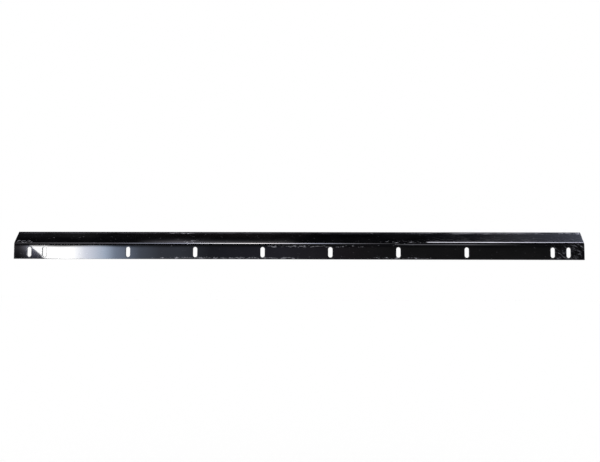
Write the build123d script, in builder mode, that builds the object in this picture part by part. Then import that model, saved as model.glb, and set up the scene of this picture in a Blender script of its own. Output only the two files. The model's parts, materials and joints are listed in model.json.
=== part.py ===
from build123d import *
from math import cos, radians, sin, tan
import os

# Back drag edge for a snowplow: one steel plate with a row of slots, folded once along its length.
# X runs along the plate, Z up the slotted leg and -Y out of its outer face, the one on the fold's
# convex side. The origin is on that face, at the middle of the row of slots.

os.makedirs("parts", exist_ok=True)

# Driving dimensions, in millimetres and degrees. Both legs are measured on the outer skin, from
# their free edge to the sharp corner that the skin would have without its fold.
length = 2565.4
thickness = 7.94
fold_inner_radius = 12.7
fold_turn = 45.0
slotted_leg = 73.0
drag_leg = 76.2
corner_break = 0.8

slot_width = 19.05
slot_length = 46.0
middle_slot_count = 6
middle_slot_pitch = 304.8
end_pair_pitch = 69.85
end_margin = 69.85

# The slots are centred on the flat stretch of the slotted leg, below the fold
fold_outer_radius = fold_inner_radius + thickness
fold_setback = fold_outer_radius * tan(radians(fold_turn / 2))
slot_height = (slotted_leg - fold_setback) / 2

# The outer skin's corner points in the YZ plane, with the slots' centres at Z = 0
free_edge = (0.0, -slot_height)
fold_corner = (0.0, slotted_leg - slot_height)
drag_tip = (
    drag_leg * sin(radians(fold_turn)),
    fold_corner[1] + drag_leg * cos(radians(fold_turn)),
)

# Slot places along the plate: the middle row is spaced about the middle, and each end has a pair
# set in from the plate's end
middle_slots = [
    (i - (middle_slot_count - 1) / 2) * middle_slot_pitch for i in range(middle_slot_count)
]
outermost_slot = length / 2 - end_margin
end_slots = [
    side * (outermost_slot - step * end_pair_pitch) for side in (-1, 1) for step in (0, 1)
]

with BuildPart() as drag_edge:
    # The folded section, drawn as the outer skin and thickened towards the inside of the fold
    with BuildSketch(Plane.YZ):
        with BuildLine():
            FilletPolyline(free_edge, fold_corner, drag_tip, radius=fold_outer_radius)
            offset(amount=thickness, side=Side.RIGHT)
        make_face()
    extrude(amount=length / 2, both=True)

    # The slots stand upright in the slotted leg and go straight through it
    with BuildSketch(Plane.XZ):
        with Locations([(x, 0) for x in middle_slots + end_slots]):
            SlotOverall(slot_length, slot_width, rotation=90)
    extrude(amount=-thickness, mode=Mode.SUBTRACT)
    slot_rims = drag_edge.edges(Select.LAST).filter_by(Plane.XZ)

    # Every cut edge is broken lightly: the outline of both skins and the rims of the slots
    end_faces = drag_edge.faces().filter_by(Axis.X)
    by_height = drag_edge.faces().sort_by(Axis.Z)
    outline = end_faces.edges() + by_height[0].edges() + by_height[-1].edges()
    fillet(outline + slot_rims, radius=corner_break)

drag_edge.part.label = "drag_edge"
export_step(drag_edge.part, "parts/drag_edge.step")
print("solids", len(drag_edge.solids()), "volume", drag_edge.part.volume)
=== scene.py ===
import bmesh
import bpy
import json
from math import cos, pi, radians, sin, tan
from mathutils import Matrix, Quaternion, Vector


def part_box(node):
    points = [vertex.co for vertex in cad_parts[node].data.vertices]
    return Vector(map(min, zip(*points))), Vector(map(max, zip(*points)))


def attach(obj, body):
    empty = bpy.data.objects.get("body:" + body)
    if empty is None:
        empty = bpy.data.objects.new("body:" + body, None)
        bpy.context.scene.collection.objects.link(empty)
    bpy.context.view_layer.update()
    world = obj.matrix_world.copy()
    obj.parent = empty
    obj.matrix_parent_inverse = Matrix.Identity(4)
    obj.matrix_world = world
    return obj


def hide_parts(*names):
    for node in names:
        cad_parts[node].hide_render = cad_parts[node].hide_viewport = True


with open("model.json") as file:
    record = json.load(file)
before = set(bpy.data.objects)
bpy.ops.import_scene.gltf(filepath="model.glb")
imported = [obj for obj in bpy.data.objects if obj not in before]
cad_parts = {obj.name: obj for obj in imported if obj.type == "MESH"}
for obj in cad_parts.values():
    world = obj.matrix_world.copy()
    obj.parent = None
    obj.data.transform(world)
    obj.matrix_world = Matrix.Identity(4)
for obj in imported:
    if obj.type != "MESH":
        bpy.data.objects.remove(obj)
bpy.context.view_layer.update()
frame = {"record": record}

# The folded plate. The real one is a single hot-rolled flat bar about 8 mm thick: sheared to length,
# punched with ten upright slots, then folded once along its length in a press brake. X runs along
# the plate, Z up the slotted leg, and -Y out of the outer skin, where this mesh starts.
mm = 0.001
mounts = {mount["name"]: mount for mount in frame["record"]["mounts"]}
slot_rows = [mount["dims"] for name, mount in mounts.items() if name.startswith("slots")]
slot_radius = slot_rows[0]["hole_r_mm"] * mm
slot_length = slot_rows[0]["slot_length_mm"] * mm
slot_places = sorted(side * row["spacing_x_mm"] * mm / 2 for row in slot_rows for side in (-1, 1))

# The slots are centred on the leg's flat, so the fold starts as far above them as the free edge
# lies below
plate_low, plate_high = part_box("drag_edge")
half_length = plate_high.x
fold_start = -plate_low.z
thickness = mounts["inner_face"]["pos_m"][1]
fold_inner_radius = 12.7 * mm
fold_outer_radius = fold_inner_radius + thickness
fold_turn = radians(45)
drag_leg = 76.2 * mm
drag_flat = drag_leg - fold_outer_radius * tan(fold_turn / 2)
corner_break = 0.8 * mm

# Two narrow strips follow every cut edge, so that the flats beside it stay flat and the paint can
# wear by its nearness. The punch drew each slot's rim in a little. The rings round a slot are
# bridged while they lie further apart than that, and pressed flat after.
edge_strips = (1.5 * mm, 4 * mm)
rim_sinks = (0.04 * mm, 0.01 * mm, 0)
bridging_stretch = 3

# How finely the mesh is cut: a ring round a slot, the cell of plate that the slot stands in, and the
# fold, with a first narrow strip of the drag leg past it
ring_segments = 48
cell_segments = (9, 15)
cell_reach = 16 * mm
flat_end = fold_start - edge_strips[1]
fold_steps = 24
fold_guard = 1.5 * mm
tolerance = 0.01 * mm


def edges_where(mesh, axis, place):
    """The edges whose two ends lie at that place along the axis."""
    return [e for e in mesh.edges if all(abs(v.co[axis] - place) < tolerance for v in e.verts)]


def edges_of(verts):
    """The edges that meet any of those points."""
    return list({edge for vert in verts for edge in vert.link_edges})


def grow(edges, way, reaches):
    """Pulls a row of edges out along a way, in one strip of faces up to each reach, and returns the
    last row."""
    for start, reach in zip((0, *reaches), reaches):
        grown = bmesh.ops.extrude_edge_only(sheet, edges=edges)["geom"]
        new_verts = [part for part in grown if isinstance(part, bmesh.types.BMVert)]
        bmesh.ops.translate(sheet, verts=new_verts, vec=(reach - start) * Vector(way))
        edges = [part for part in grown if isinstance(part, bmesh.types.BMEdge) and part.is_boundary]
    return edges


def strips_up_to(reach):
    """The reaches of a stretch that ends at a cut edge."""
    return [reach - strip for strip in reversed(edge_strips)] + [reach]


sheet = bmesh.new()
cut_edge = sheet.verts.layers.float.new("cut_edge")
for place in slot_places:
    # Each ring is a circle pulled apart into two half rounds with straight sides between them: the
    # slot's own rim, then the strips that follow it
    upright = Matrix.Translation((place, 0, 0)) @ Matrix.Rotation(pi / 2, 4, "X")
    half_step = Matrix.Rotation(pi / ring_segments, 4, "Z")
    rings = []
    for strip, sink in zip((0, *edge_strips), rim_sinks):
        ring = bmesh.ops.create_circle(
            sheet,
            segments=ring_segments,
            radius=slot_radius + strip,
            matrix=Matrix.Translation((0, bridging_stretch * sink, 0)) @ upright @ half_step,
        )["verts"]
        for side in (-1, 1):
            half_round = [vert for vert in ring if side * vert.co.z > 0]
            pulled = (0, 0, side * (slot_length / 2 - slot_radius))
            bmesh.ops.translate(sheet, verts=half_round, vec=pulled)
        rings.append(edges_of(ring))

    # The cell of plate round it is the border of a grid, as high as the strips leave room for
    cell = bmesh.ops.create_grid(
        sheet,
        x_segments=cell_segments[0],
        y_segments=cell_segments[1],
        size=1,
        matrix=upright @ Matrix.Diagonal((cell_reach, flat_end, 1, 1)),
    )["verts"]
    inside = [edge for edge in edges_of(cell) if not edge.is_boundary]
    border = [edge for edge in edges_of(cell) if edge.is_boundary]
    bmesh.ops.delete(sheet, geom=inside, context="EDGES")
    rings.append(border)
    for outer, inner in zip(rings[::-1], rings[-2::-1]):
        bmesh.ops.bridge_loops(sheet, edges=inner + outer)
bmesh.ops.scale(sheet, verts=sheet.verts, vec=(1, 1 / bridging_stretch, 1))

# Plain stretches between the cells, and out to both ends
for left, right in zip(slot_places, slot_places[1:]):
    sides = edges_where(sheet, 0, left + cell_reach) + edges_where(sheet, 0, right - cell_reach)
    bmesh.ops.bridge_loops(sheet, edges=sides)
last = slot_places[-1] + cell_reach
for side in (-1, 1):
    grow(edges_where(sheet, 0, side * last), (side, 0, 0), strips_up_to(half_length - last))

# Down to the free edge and up to the fold, which turns the top of the slotted leg about the bend's
# centre line, and then on up the drag leg
last_strips = strips_up_to(edge_strips[1])[1:]
grow(edges_where(sheet, 2, -flat_end), (0, 0, -1), last_strips)
fold_foot = grow(edges_where(sheet, 2, flat_end), (0, 0, 1), last_strips)
folded = bmesh.ops.spin(
    sheet,
    geom=fold_foot,
    cent=(0, fold_outer_radius, fold_start),
    axis=(1, 0, 0),
    angle=-fold_turn,
    steps=fold_steps,
)["geom_last"]
folded = [part for part in folded if isinstance(part, bmesh.types.BMEdge)]
up_drag_leg = (0, sin(fold_turn), cos(fold_turn))
grow(folded, up_drag_leg, [fold_guard, *strips_up_to(drag_flat)])

# The sheet is the outer skin, so its slotted leg faces -Y
bmesh.ops.remove_doubles(sheet, verts=sheet.verts, dist=tolerance)
bmesh.ops.recalc_face_normals(sheet, faces=sheet.faces)
sheet.faces.ensure_lookup_table()
if sheet.faces[0].normal.y > 0:
    bmesh.ops.reverse_faces(sheet, faces=sheet.faces)
for face in sheet.faces:
    face.smooth = True

# How near each point is to a cut edge: 1 on it, and 0 where the wider strip ends
for vert in sheet.verts:
    if vert.is_boundary:
        vert[cut_edge] = 1
    elif any(edge.other_vert(vert).is_boundary for edge in vert.link_edges):
        vert[cut_edge] = 1 - edge_strips[0] / edge_strips[1]

plate = bpy.data.objects.new("drag_edge_plate", bpy.data.meshes.new("drag_edge_plate"))
bpy.context.scene.collection.objects.link(plate)
sheet.to_mesh(plate.data)
sheet.free()

wall = plate.modifiers.new("plate thickness", "SOLIDIFY")
wall.thickness = thickness
wall.offset = -1
wall.use_even_offset = True
broken = plate.modifiers.new("broken edges", "BEVEL")
broken.width = corner_break
broken.segments = 3
broken.limit_method = "ANGLE"
broken.angle_limit = radians(60)
broken.harden_normals = True

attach(plate, "root")
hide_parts("drag_edge")


# The finish: gloss black enamel, sprayed on bare hot-rolled steel and oven-cured. It gives the eye a
# near-black, clear mirror of the room, with a faint orange peel, slow waves where the plate isn't
# quite flat, a thin film of dust, and grey scuffs where the plate was dragged and stacked.
def linear(hex_colour):
    """The linear colour that a shader takes for the #rrggbb that the eye sees on a screen."""
    screen = [int(hex_colour[i : i + 2], 16) / 255 for i in (1, 3, 5)]
    return [c / 12.92 if c <= 0.04045 else ((c + 0.055) / 1.055) ** 2.4 for c in screen] + [1.0]


def add_node(material, kind, settings=None, links=None, stops=()):
    """Adds a node: settings are its own properties, links its inputs, each a socket or a value, and
    stops the places and colours of a colour ramp."""
    node = material.node_tree.nodes.new(kind)
    for name, value in (settings or {}).items():
        setattr(node, name, value)
    for name, source in (links or {}).items():
        if isinstance(source, bpy.types.NodeSocket):
            material.node_tree.links.new(source, node.inputs[name])
        else:
            node.inputs[name].default_value = source
    for number, (place, colour) in enumerate(stops):
        elements = node.color_ramp.elements
        element = elements[number] if number < len(elements) else elements.new(place)
        element.position = place
        element.color = colour
    return node


def peak_strength(stops):
    """The greatest strength among the stops, and at least 1."""
    return max(1, *(strength for place, colour, strength in stops))


def graded(material, value, stops):
    """A colour that changes along a value. A stop is a place on it, a colour and a strength. A colour
    ramp holds no more than 1, so the colours come out as shares of the peak strength."""
    low, high = stops[0][0], stops[-1][0]
    peak = peak_strength(stops)
    along = add_node(
        material,
        "ShaderNodeMapRange",
        links={"Value": value, "From Min": low, "From Max": high},
    )
    ramp = [
        ((place - low) / (high - low), [c * strength / peak for c in linear(colour)[:3]] + [1])
        for place, colour, strength in stops
    ]
    return add_node(material, "ShaderNodeValToRGB", links={0: along.outputs[0]}, stops=ramp).outputs[0]


def white(stops):
    """Plain white stops: each is given as a place and a strength, or its share of a mask."""
    return [(place, "#ffffff", strength) for place, strength in stops]


multiply = {"operation": "MULTIPLY"}
multiply_add = {"operation": "MULTIPLY_ADD"}
larger = {"operation": "MAXIMUM"}
soft = {"interpolation_type": "SMOOTHSTEP"}

paint = bpy.data.materials.new("gloss_black_enamel_on_steel")
paint.use_nodes = True
paint.node_tree.nodes.clear()
position = add_node(paint, "ShaderNodeTexCoord").outputs["Object"]
axes = add_node(paint, "ShaderNodeSeparateXYZ", links={0: position}).outputs
nearness = add_node(paint, "ShaderNodeAttribute", {"attribute_name": "cut_edge"}).outputs["Fac"]


def blotches(size, detail=2, turn=0, seed=0):
    """Noise whose blotches measure about size, in millimetres along X, Y and Z, turned about Y."""
    scale = [side * mm for side in size]
    mapped = add_node(
        paint,
        "ShaderNodeMapping",
        {"vector_type": "TEXTURE"},
        {"Vector": position, "Rotation": (0, radians(turn), 0), "Scale": scale},
    )
    return add_node(
        paint,
        "ShaderNodeTexNoise",
        {"noise_dimensions": "4D"},
        {"Vector": mapped.outputs[0], "W": seed, "Scale": 1, "Detail": detail},
    ).outputs["Fac"]


# Where it is worn. Each row has four heights up the section that it fades in and out between, and
# places along the plate with their share of wear. Heights and places are in metres.
worn_rows = {
    "drag_leg_tip": (
        (0.084, 0.087, 0.092, 0.096),
        ((-0.60, 0), (-0.575, 0.7), (-0.484, 0.7), (-0.465, 0), (1.10, 0), (1.18, 0.5), (1.30, 0.5)),
    ),
    "drag_leg_foot": (
        (0.040, 0.044, 0.051, 0.056),
        (
            (-1.278, 0),
            (-1.272, 0.55),
            (-1.196, 0.55),
            (-1.185, 0),
            (-0.52, 0),
            (-0.507, 0.7),
            (-0.457, 0.7),
            (-0.44, 0),
            (0.38, 0),
            (0.42, 0.45),
            (0.56, 0.45),
            (0.60, 0),
        ),
    ),
    "fold": (
        (0.029, 0.033, 0.043, 0.047),
        ((-0.52, 0), (-0.50, 0.3), (-0.40, 0.2), (0.0, 0), (0.40, 0), (0.45, 0.3), (0.55, 0.3), (0.60, 0)),
    ),
    "under_the_fold": (
        (0.020, 0.023, 0.029, 0.032),
        (
            (-0.14, 0),
            (-0.115, 0.9),
            (-0.06, 0.4),
            (-0.02, 0.7),
            (0.05, 0.7),
            (0.12, 0.5),
            (0.28, 0.4),
            (0.33, 0.1),
            (0.37, 0),
        ),
    ),
    "free_edge": (
        (-0.033, -0.029, -0.0235, -0.0205),
        (
            (-0.68, 0),
            (-0.64, 0.6),
            (-0.30, 0.7),
            (-0.02, 0.7),
            (0.02, 0.1),
            (0.34, 0.1),
            (0.37, 0.6),
            (0.58, 0.6),
            (0.62, 0),
        ),
    ),
}
worn = 0
for heights, stretches in worn_rows.values():
    across = graded(paint, axes["Z"], white(zip(heights, (0, 1, 1, 0))))
    along = graded(paint, axes["X"], white(stretches))
    row = add_node(paint, "ShaderNodeMath", multiply, {0: across, 1: along}).outputs[0]
    worn = add_node(paint, "ShaderNodeMath", larger, {0: row, 1: worn}).outputs[0]

# Scuffs are short dashes along the plate, about 22 mm by 3 mm, broken up into chips 8 mm long and
# gritty scrapes 1 mm wide. Only a few cross the threshold outside the worn stretches.
wear_gain = 0.26
dashes = add_node(
    paint, "ShaderNodeMath", multiply_add, {0: worn, 1: wear_gain, 2: blotches((22, 4, 3.2), detail=3)}
).outputs[0]
dashes = add_node(
    paint, "ShaderNodeMapRange", soft, {"Value": dashes, "From Min": 0.67, "From Max": 0.75}
).outputs[0]
chips = blotches((8, 5, 5), detail=1, seed=31)
chips = add_node(
    paint,
    "ShaderNodeMapRange",
    soft,
    {"Value": chips, "From Min": 0.43, "From Max": 0.53, "To Min": 0.08},
).outputs[0]
grit = blotches((6, 1.5, 0.9), seed=3)
grit = add_node(
    paint,
    "ShaderNodeMapRange",
    links={"Value": grit, "From Min": 0.3, "From Max": 0.5, "To Min": 0.4},
).outputs[0]
chipped = add_node(paint, "ShaderNodeMath", multiply, {0: dashes, 1: chips}).outputs[0]
scuffs = add_node(paint, "ShaderNodeMath", multiply, {0: chipped, 1: grit}).outputs[0]

# Rubbed marks slant across the plate near its ends, where it was carried and stacked, and are
# fainter on the drag leg. They are bundles of hairline scratches, drawn 2 mm wide so that they show
# close up.
rub_slant = 32
rub_gain = 0.2
ends = white([(-1.28, 0.6), (-1.23, 0.5), (-1.20, 0), (1.08, 0), (1.17, 1), (1.28, 1)])
ends = graded(paint, axes["X"], ends)
lower_leg = graded(paint, axes["Z"], white([(0.030, 1), (0.040, 0.3), (0.046, 0.1)]))
slanting = blotches((30, 12, 9), detail=3, turn=rub_slant, seed=5)
slanting = add_node(
    paint, "ShaderNodeMath", multiply_add, {0: ends, 1: rub_gain, 2: slanting}
).outputs[0]
slanting = add_node(
    paint, "ShaderNodeMapRange", soft, {"Value": slanting, "From Min": 0.70, "From Max": 0.84}
).outputs[0]
slanting = add_node(paint, "ShaderNodeMath", multiply, {0: slanting, 1: lower_leg}).outputs[0]
hairlines = blotches((24, 2, 2.2), turn=rub_slant, seed=7)
hairlines = add_node(
    paint,
    "ShaderNodeMapRange",
    links={"Value": hairlines, "From Min": 0.44, "From Max": 0.60, "To Min": 0.05},
).outputs[0]
rubs = add_node(paint, "ShaderNodeMath", multiply, {0: slanting, 1: hairlines}).outputs[0]

# Dust lies in soft patches a hand or so across, and as specks, drawn 5 mm wide so that they show
patches = blotches((90, 90, 45), detail=3, seed=9)
film = add_node(
    paint, "ShaderNodeMapRange", soft, {"Value": patches, "From Min": 0.42, "From Max": 0.72}
).outputs[0]
specks = blotches((5, 5, 5), detail=0, seed=13)
specks = add_node(
    paint, "ShaderNodeMapRange", soft, {"Value": specks, "From Min": 0.80, "From Max": 0.90}
).outputs[0]

# Along every cut edge a lighter line is painted just inside the dark rounded corner: partly paint
# rubbed duller, partly a painted edge highlight. It is widest along the drag leg's tip, which scrapes
# the ground. The sheared walls are rough.
rim_wear_and_highlight_line = graded(paint, nearness, white([(0, 0), (0.3, 1), (0.6, 1), (0.85, 0), (1, 0)]))
tip_wear_and_highlight_line = graded(paint, axes["Z"], white([(0.0835, 0), (0.0865, 1), (0.0905, 1), (0.0925, 0)]))
rim_wear_and_highlight_line = add_node(paint, "ShaderNodeMath", larger, {0: rim_wear_and_highlight_line, 1: tip_wear_and_highlight_line}).outputs[0]
rim_patches = blotches((60, 20, 12), seed=17)
rim_patches = add_node(
    paint, "ShaderNodeMapRange", links={"Value": rim_patches, "From Min": 0.3, "From Max": 0.6}
).outputs[0]
rim_wear_and_painted_highlight = add_node(paint, "ShaderNodeMath", multiply, {0: rim_wear_and_highlight_line, 1: rim_patches}).outputs[0]
cut_wall = add_node(
    paint, "ShaderNodeMapRange", links={"Value": nearness, "From Min": 0.97, "From Max": 1}
).outputs[0]

# The colours, each laid over the one before by its own mask
colour = linear("#040405")
for coat, mask, cover in (
    ("#0b0b0e", patches, 0.6),
    ("#302e2e", film, 0.05),
    ("#0c0c0d", cut_wall, 0.8),
    # the lighter rim line: rubbed paint, and a painted edge highlight
    ("#3a3a40", rim_wear_and_painted_highlight, 0.75),
    ("#7c7c84", rubs, 0.9),
    ("#9c9ca4", scuffs, 0.9),
    ("#77747a", specks, 0.7),
):
    share = add_node(paint, "ShaderNodeMath", multiply, {0: mask, 1: cover}).outputs[0]
    colour = add_node(
        paint,
        "ShaderNodeMix",
        {"data_type": "RGBA"},
        {"Factor": share, 6: colour, 7: linear(coat)},
    ).outputs[2]

# Roughness: clear gloss, a little softer under the film, and duller where it is rubbed or cut
rough = 0.04
for mask, rise in ((film, 0.015), (cut_wall, 0.30), (rim_wear_and_painted_highlight, 0.12), (rubs, 0.16), (scuffs, 0.28)):
    rough = add_node(paint, "ShaderNodeMath", multiply_add, {0: mask, 1: rise, 2: rough}).outputs[0]

# Relief: the plate's waves, orange peel drawn 5 mm wide because its real 2 mm wouldn't show, the
# shear's tears through the cut walls, and the shallow scratches of the scuffs
waves = blotches((140, 140, 70), detail=0, seed=25)
peel = blotches((5, 5, 5), detail=1, seed=29)
tears = blotches((2.2, 14, 2.2), seed=21)
tears = add_node(paint, "ShaderNodeMath", multiply, {0: tears, 1: cut_wall}).outputs[0]
normal = None
for relief, depth in (
    (waves, 0.1 * mm),
    (peel, 0.0008 * mm),
    (tears, 0.25 * mm),
    (scuffs, -0.003 * mm),
):
    bump = add_node(paint, "ShaderNodeBump", links={"Height": relief, "Distance": depth})
    if normal:
        paint.node_tree.links.new(normal, bump.inputs["Normal"])
    normal = bump.outputs[0]

enamel = add_node(
    paint,
    "ShaderNodeBsdfPrincipled",
    links={"Base Color": colour, "Roughness": rough, "IOR": 1.5, "Normal": normal},
)
add_node(paint, "ShaderNodeOutputMaterial", links={"Surface": enamel.outputs[0]})
plate.data.materials.append(paint)

# The camera stands about 3.4 m in front of the plate and a little lower than its slots, and looks
# slightly up at it, so the drag leg shows foreshortened above the fold. It is rolled by a hair, as
# the photograph is.
camera = bpy.data.objects.new("camera", bpy.data.cameras.new("camera"))
bpy.context.scene.collection.objects.link(camera)
bpy.context.scene.camera = camera
camera.data.sensor_width = 36
camera.data.lens = 45
camera.location = (0.1052, -3.3669, -0.1299)
aim = Vector((0.0159, 0, 0.0956))
roll = radians(0.175)
facing = (aim - camera.location).to_track_quat("-Z", "Y")
camera.rotation_mode = "QUATERNION"
camera.rotation_quaternion = facing @ Quaternion((0, 0, 1), roll)

# The studio: plain soft light from all round, from a sky that is white to the eye and in every
# reflection, and a little more from a soft key lamp above.
sky_light = 0.7
key_light = 0.3

world = bpy.data.worlds.new("studio_light")
bpy.context.scene.world = world
world.use_nodes = True
world.node_tree.nodes.clear()


def white_to_the_eye(material):
    """1 where a ray comes from the camera, from gloss or through glass, and 0 for light on objects."""
    ray = add_node(material, "ShaderNodeLightPath").outputs
    shine = add_node(
        material,
        "ShaderNodeMath",
        larger,
        {0: ray["Is Glossy Ray"], 1: ray["Is Transmission Ray"]},
    ).outputs[0]
    return add_node(
        material, "ShaderNodeMath", larger, {0: ray["Is Camera Ray"], 1: shine}
    ).outputs[0]


level = add_node(
    world,
    "ShaderNodeMapRange",
    links={"Value": white_to_the_eye(world), "To Min": sky_light, "To Max": 1},
)
sky = add_node(
    world, "ShaderNodeBackground", links={"Color": linear("#ffffff"), "Strength": level.outputs[0]}
)
add_node(world, "ShaderNodeOutputWorld", links={"Surface": sky.outputs[0]})

lamp = bpy.data.objects.new("key_lamp", bpy.data.lights.new("key_lamp", "SUN"))
bpy.context.scene.collection.objects.link(lamp)
lamp.data.energy = key_light * pi
lamp.data.angle = radians(25)
lamp.rotation_euler = (radians(18), radians(-14), 0)
lamp.visible_glossy = False

# The floor: matt white, well below the plate. It keeps the plate's shadow, and a glow that only the
# eye and reflections see brings it up to white.
floor_drop = 1.2
floor_reach = 40
floor_paint = "#e7e7e7"
floor_glow = 0.22

ground = bmesh.new()
bmesh.ops.create_grid(ground, x_segments=1, y_segments=1, size=floor_reach)
bmesh.ops.translate(ground, verts=ground.verts, vec=(0, 0, -floor_drop))
floor = bpy.data.objects.new("floor", bpy.data.meshes.new("floor"))
bpy.context.scene.collection.objects.link(floor)
ground.to_mesh(floor.data)
ground.free()

floor_white = bpy.data.materials.new("matt_white_floor")
floor_white.use_nodes = True
floor_white.node_tree.nodes.clear()
matt = add_node(floor_white, "ShaderNodeBsdfDiffuse", links={"Color": linear(floor_paint)})
strength = add_node(
    floor_white, "ShaderNodeMath", multiply, {0: white_to_the_eye(floor_white), 1: floor_glow}
)
glow = add_node(floor_white, "ShaderNodeEmission", links={"Strength": strength.outputs[0]})
both = add_node(floor_white, "ShaderNodeAddShader", links={0: matt.outputs[0], 1: glow.outputs[0]})
add_node(floor_white, "ShaderNodeOutputMaterial", links={"Surface": both.outputs[0]})
floor.data.materials.append(floor_white)


# What the gloss paint mirrors. Black gloss shows its surroundings more than itself, so it stands in
# a dark cloth tent, and the bright places are cards of graded light. Only gloss sees these: they
# add no light to a colour and are not in the picture.
def studio_piece(name, mesh, shade):
    """A staged piece that only gloss sees."""
    piece = bpy.data.objects.new(name, bpy.data.meshes.new(name))
    bpy.context.scene.collection.objects.link(piece)
    mesh.to_mesh(piece.data)
    mesh.free()
    piece.data.materials.append(shade)
    piece.visible_camera = False
    piece.visible_diffuse = False
    piece.visible_transmission = False
    piece.visible_shadow = False


def studio_card(name, corners, shade):
    """A staged flat card. Its corners are given in order round it."""
    card = bmesh.new()
    for corner in corners:
        bmesh.ops.create_vert(card, co=corner)
    bmesh.ops.contextual_create(card, geom=card.verts)
    studio_piece(name, card, shade)


def graded_light(name, axis, stops, cross_axis=None, cross_stops=None):
    """Light that changes along one axis, and may also be shaded along another."""
    shade = bpy.data.materials.new(name)
    shade.use_nodes = True
    shade.node_tree.nodes.clear()
    coordinates = add_node(shade, "ShaderNodeTexCoord")
    split = add_node(shade, "ShaderNodeSeparateXYZ", links={0: coordinates.outputs["Object"]})
    peak = peak_strength(stops)
    colour = graded(shade, split.outputs[axis], stops)
    if cross_stops:
        peak *= peak_strength(cross_stops)
        cross = graded(shade, split.outputs[cross_axis], cross_stops)
        colour = add_node(shade, "ShaderNodeVectorMath", multiply, {0: colour, 1: cross}).outputs[0]
    light = add_node(shade, "ShaderNodeEmission", links={"Color": colour, "Strength": peak})
    add_node(shade, "ShaderNodeOutputMaterial", links={"Surface": light.outputs[0]})
    return shade


# The tent is a dome of dark cloth that comes down to the floor, and is a little paler at its foot
tent_radius = 9
tent_heights = [
    (-floor_drop, "#b4b4bc", 0.25),
    (0.4, "#b4b4bc", 0.2),
    (3.5, "#9a9aa4", 0.12),
    (8.0, "#7c7c84", 0.06),
]
tent = bmesh.new()
bmesh.ops.create_uvsphere(tent, u_segments=32, v_segments=24, radius=tent_radius)
bmesh.ops.bisect_plane(
    tent,
    geom=tent.verts[:] + tent.edges[:] + tent.faces[:],
    plane_co=(0, 0, -floor_drop),
    plane_no=(0, 0, -1),
    clear_outer=True,
)
studio_piece("cloth_tent", tent, graded_light("dark_cloth", "Z", tent_heights))

# Soft boxes hang high up on both sides of the tent. The drag leg mirrors them in views from the
# side and from above.
box_height = 5.5
box_front, box_back = -4.6, -1.0
for name, side in (("left_soft_box", -1), ("right_soft_box", 1)):
    glow = [(4.6, "#f4f6ff", 0), (5.3, "#f4f6ff", 5), (6.4, "#f4f6ff", 7), (6.9, "#f4f6ff", 0)]
    glow = sorted((side * x, colour, strength) for x, colour, strength in glow)
    left, right = glow[0][0], glow[-1][0]
    around = ((left, box_front), (right, box_front), (right, box_back), (left, box_back))
    corners = [(x, y, box_height) for x, y in around]
    studio_card(name, corners, graded_light(name, "X", glow))

# A cloth lies just over the floor, dark under the plate and paler further out. The slotted leg
# mirrors it in views from above.
cloth_reach = 8.8
cloth_lift = 0.01
cloth_depths = [
    (-cloth_reach, "#ffffff", 1.0),
    (-3.6, "#ffffff", 0.7),
    (-1.4, "#f4f4ff", 0.2),
    (0.0, "#f0f0ff", 0.06),
    (1.4, "#f4f4ff", 0.25),
    (3.4, "#ffffff", 1.1),
    (cloth_reach, "#ffffff", 1.4),
]
cloth_sides = white([(-cloth_reach, 1.6), (-2.0, 0.5), (1.0, 1.0), (3.0, 0.35), (cloth_reach, 1.3)])
cloth = bmesh.new()
bmesh.ops.create_grid(cloth, x_segments=1, y_segments=1, size=cloth_reach)
bmesh.ops.translate(cloth, verts=cloth.verts, vec=(0, 0, cloth_lift - floor_drop))
cloth_light = graded_light("floor_cloth_light", "Y", cloth_depths, "X", cloth_sides)
studio_piece("floor_cloth", cloth, cloth_light)


# In front: a bright doorway mirrored near the left end of the slotted leg, which fades to the dark
# room on its right and towards the fold, and ends on its left in a slanting edge.
def mirrored(place, height, away, elevation=None):
    """Where a card shows to the camera as a mirror image at that place along the plate and that
    height: in the slotted leg, or in the fold where it mirrors that elevation."""
    spread = away / -camera.location.y
    sideways = place + spread * (place - camera.location.x)
    if elevation is None:
        return Vector((sideways, -away, height + spread * (height - camera.location.z)))
    return Vector((sideways, -away * cos(elevation), height + away * sin(elevation)))


def seen_along(stops, away):
    """The stops of a light, with their places moved from along the plate to the card."""
    return [(mirrored(place, 0, away).x, *rest) for place, *rest in stops]


def seen_up(stops, away):
    """The stops of a light, with their places moved from up the slotted leg to the card."""
    return [(mirrored(0, height, away).z, *rest) for height, *rest in stops]


# The doorway stands this far out, and its edges are given by the places and heights on the plate
# that they are mirrored at
front_away = 0.9
card_left, card_right = -1.5, 1.6
card_foot, card_top = -0.20, 0.0295
slant_low = (-1.135, -0.031)
slant_high = (-1.207, 0.0241)
slant = (slant_high[0] - slant_low[0]) / (slant_high[1] - slant_low[1])


def slanting_edge(height):
    """The point of the doorway's left edge that is mirrored at that height on the plate."""
    return mirrored(slant_low[0] + slant * (height - slant_low[1]), height, front_away)


doorway = [
    (-1.19, "#ffffff", 28),
    (-1.02, "#ffffff", 28),
    (-0.957, "#eef2ff", 18.7),
    (-0.866, "#d6e6ff", 12),
    (-0.820, "#cfe0ff", 6),
    (-0.707, "#d4e2ff", 2),
    (-0.616, "#dce6ff", 1),
    (-0.525, "#dce6ff", 0.95),
    (-0.389, "#dce2ff", 0.32),
    (-0.070, "#e4e0ff", 0.42),
    (0.218, "#fff0ff", 0.2),
    (0.420, "#ffffff", 0.13),
    (1.120, "#ffffff", 0.12),
    (1.283, "#ffffff", 0.05),
]
doorway_rise = white([(card_foot, 1), (0.0190, 1), (0.0235, 0.7), (0.0265, 0.25), (card_top, 0)])
doorway_light = graded_light(
    "doorway_light", "X", seen_along(doorway, front_away), "Z", seen_up(doorway_rise, front_away)
)
corners = [
    slanting_edge(card_top),
    slanting_edge(card_foot),
    mirrored(card_right, card_foot, front_away),
    mirrored(card_right, card_top, front_away),
]
studio_card("doorway", corners, doorway_light)

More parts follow.
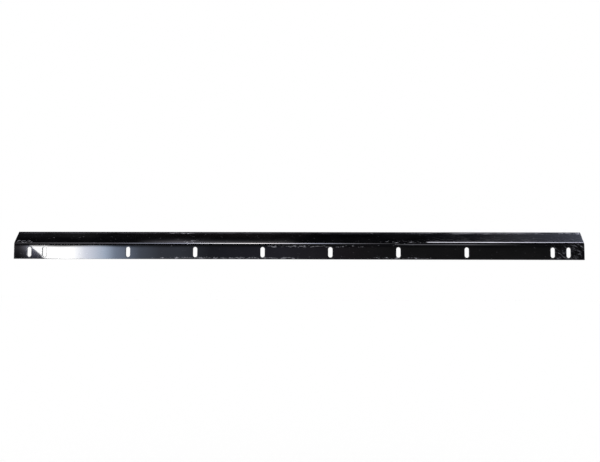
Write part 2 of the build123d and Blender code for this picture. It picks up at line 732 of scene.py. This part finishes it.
# To the left of that slanting edge: the doorway's grey flank, which fades towards the plate's end
flank = [
    (-1.30, "#e8e4ee", 0.5),
    (-1.262, "#e8e4f0", 0.5),
    (-1.244, "#e6e4f2", 1.3),
    (-1.226, "#e4e4f8", 2.5),
    (-1.19, "#dce0ff", 4.2),
    (-1.12, "#dce0ff", 4.4),
]
flank_rise = white(
    [(-0.035, 0.1), (-0.020, 0.3), (0, 0.6), (0.015, 1.2), (0.0235, 1.4), (0.0265, 0.5), (card_top, 0)]
)
flank_light = graded_light(
    "flank_light", "X", seen_along(flank, front_away), "Z", seen_up(flank_rise, front_away)
)
corners = [
    mirrored(card_left, card_top, front_away),
    mirrored(card_left, card_foot, front_away),
    slanting_edge(card_foot),
    slanting_edge(card_top),
]
studio_card("doorway_flank", corners, flank_light)

# Above and in front: the long lights that draw the bright line along the fold. One runs from the
# left end to past the middle, one from there to the right end, and a low one draws the faint second
# line under its start.
fold_middle = 0.040
strip_away = 1.2


def fold_strip(name, stops, lowest, highest):
    """A long light mirrored in the fold, between two elevations in degrees."""
    first, last = stops[0][0], stops[-1][0]
    around = ((first, lowest), (last, lowest), (last, highest), (first, highest))
    corners = [
        mirrored(place, fold_middle, strip_away, radians(elevation)) for place, elevation in around
    ]
    studio_card(name, corners, graded_light(name + "_light", "X", seen_along(stops, strip_away)))


fold_strip(
    "long_strip",
    [
        (-1.34, "#e8e4f0", 1.5),
        (-1.07, "#f0ecf4", 3.5),
        (-0.82, "#f0ecff", 3.5),
        (-0.707, "#e4e8ff", 7),
        (-0.50, "#e4e8ff", 14),
        (-0.389, "#f8f8ff", 24),
        (-0.186, "#fffafc", 30),
        (-0.007, "#f4f2ff", 20),
        (0.084, "#e4e8ff", 13),
        (0.218, "#f0f0ff", 5),
        (0.340, "#f4f0ff", 2),
        (0.45, "#ffffff", 0.6),
    ],
    lowest=36.5,
    highest=52.5,
)
fold_strip(
    "right_strip",
    [
        (0.585, "#f4f4ff", 22),
        (0.687, "#f4f4ff", 20),
        (0.865, "#f4f4ff", 25),
        (0.997, "#f0f0ff", 20),
        (1.174, "#ececff", 16),
        (1.32, "#e8e8ff", 12),
    ],
    lowest=79,
    highest=92.5,
)
fold_strip(
    "low_strip",
    [
        (0.44, "#f4f4ff", 0.8),
        (0.50, "#f4f4ff", 2.2),
        (0.775, "#f4f4ff", 2.8),
        (0.865, "#f4f4ff", 1.4),
        (0.997, "#f4f4ff", 0.3),
    ],
    lowest=10,
    highest=32,
)

# Overhead: what the drag leg mirrors. A dim ceiling, brown to blue, ends at a joint and is lighter
# past it. In front of it hangs a light that the top of the fold and the foot of the leg show.
ceiling_height = 1.2
ceiling_joint = 0.576
ceiling_front, lighter_front = 0.092, 0.064
ceiling_back = 0.9
light_front = -0.9
ceiling_lights = {
    "ceiling": (
        (ceiling_front, ceiling_back),
        [
            (-1.40, "#d8dce8", 0.08),
            (-1.20, "#d8dce8", 0.08),
            (-0.97, "#dcdcdc", 0.14),
            (-0.866, "#dcdcdc", 0.035),
            (-0.62, "#e8d8c8", 0.035),
            (-0.18, "#e8d0c0", 0.05),
            (0.018, "#e8dcd8", 0.04),
            (0.085, "#dcdcdc", 0),
            (0.31, "#dcdcdc", 0),
            (0.42, "#dce0e8", 0.04),
            (0.53, "#dce0e8", 0.04),
            (ceiling_joint, "#dcdcff", 0.02),
        ],
        None,
    ),
    "lighter_ceiling": (
        (lighter_front, ceiling_back),
        [
            (ceiling_joint, "#dcdcff", 0.04),
            (0.776, "#dce0ff", 0.08),
            (0.865, "#ecebff", 0.22),
            (0.997, "#e8ebff", 0.46),
            (1.174, "#dce4ff", 0.74),
            (1.250, "#dce4ff", 1.1),
            (1.266, "#dce4ff", 1.6),
            (1.274, "#e4e8ff", 5),
            (1.34, "#e4e8ff", 5),
        ],
        None,
    ),
    "front_light": (
        (light_front, ceiling_front),
        [
            (-0.72, "#e8e4f0", 0),
            (-0.62, "#e8e4f0", 0.6),
            (-0.54, "#e8e4f0", 1.1),
            (-0.48, "#e8e4f0", 1.1),
            (-0.40, "#e8e4f0", 0.75),
            (-0.186, "#f0e8f0", 0.5),
            (-0.07, "#f0e8f0", 0.6),
            (0.0, "#f0e8f0", 0.1),
            (0.03, "#f0e8f0", 0),
        ],
        white(
            [
                (light_front, 1.7),
                (0.06, 1.7),
                (0.065, 1.4),
                (0.071, 0.45),
                (0.078, 0.12),
                (ceiling_front, 0),
            ]
        ),
    ),
}
for name, ((front, back), along, across) in ceiling_lights.items():
    along = seen_along(along, ceiling_height)
    left, right = along[0][0], along[-1][0]
    around = ((left, front), (right, front), (right, back), (left, back))
    corners = [(x, y, ceiling_height) for x, y in around]
    studio_card(name, corners, graded_light(name, "X", along, "Y", across))

bpy.context.scene.view_settings.view_transform = "Standard"
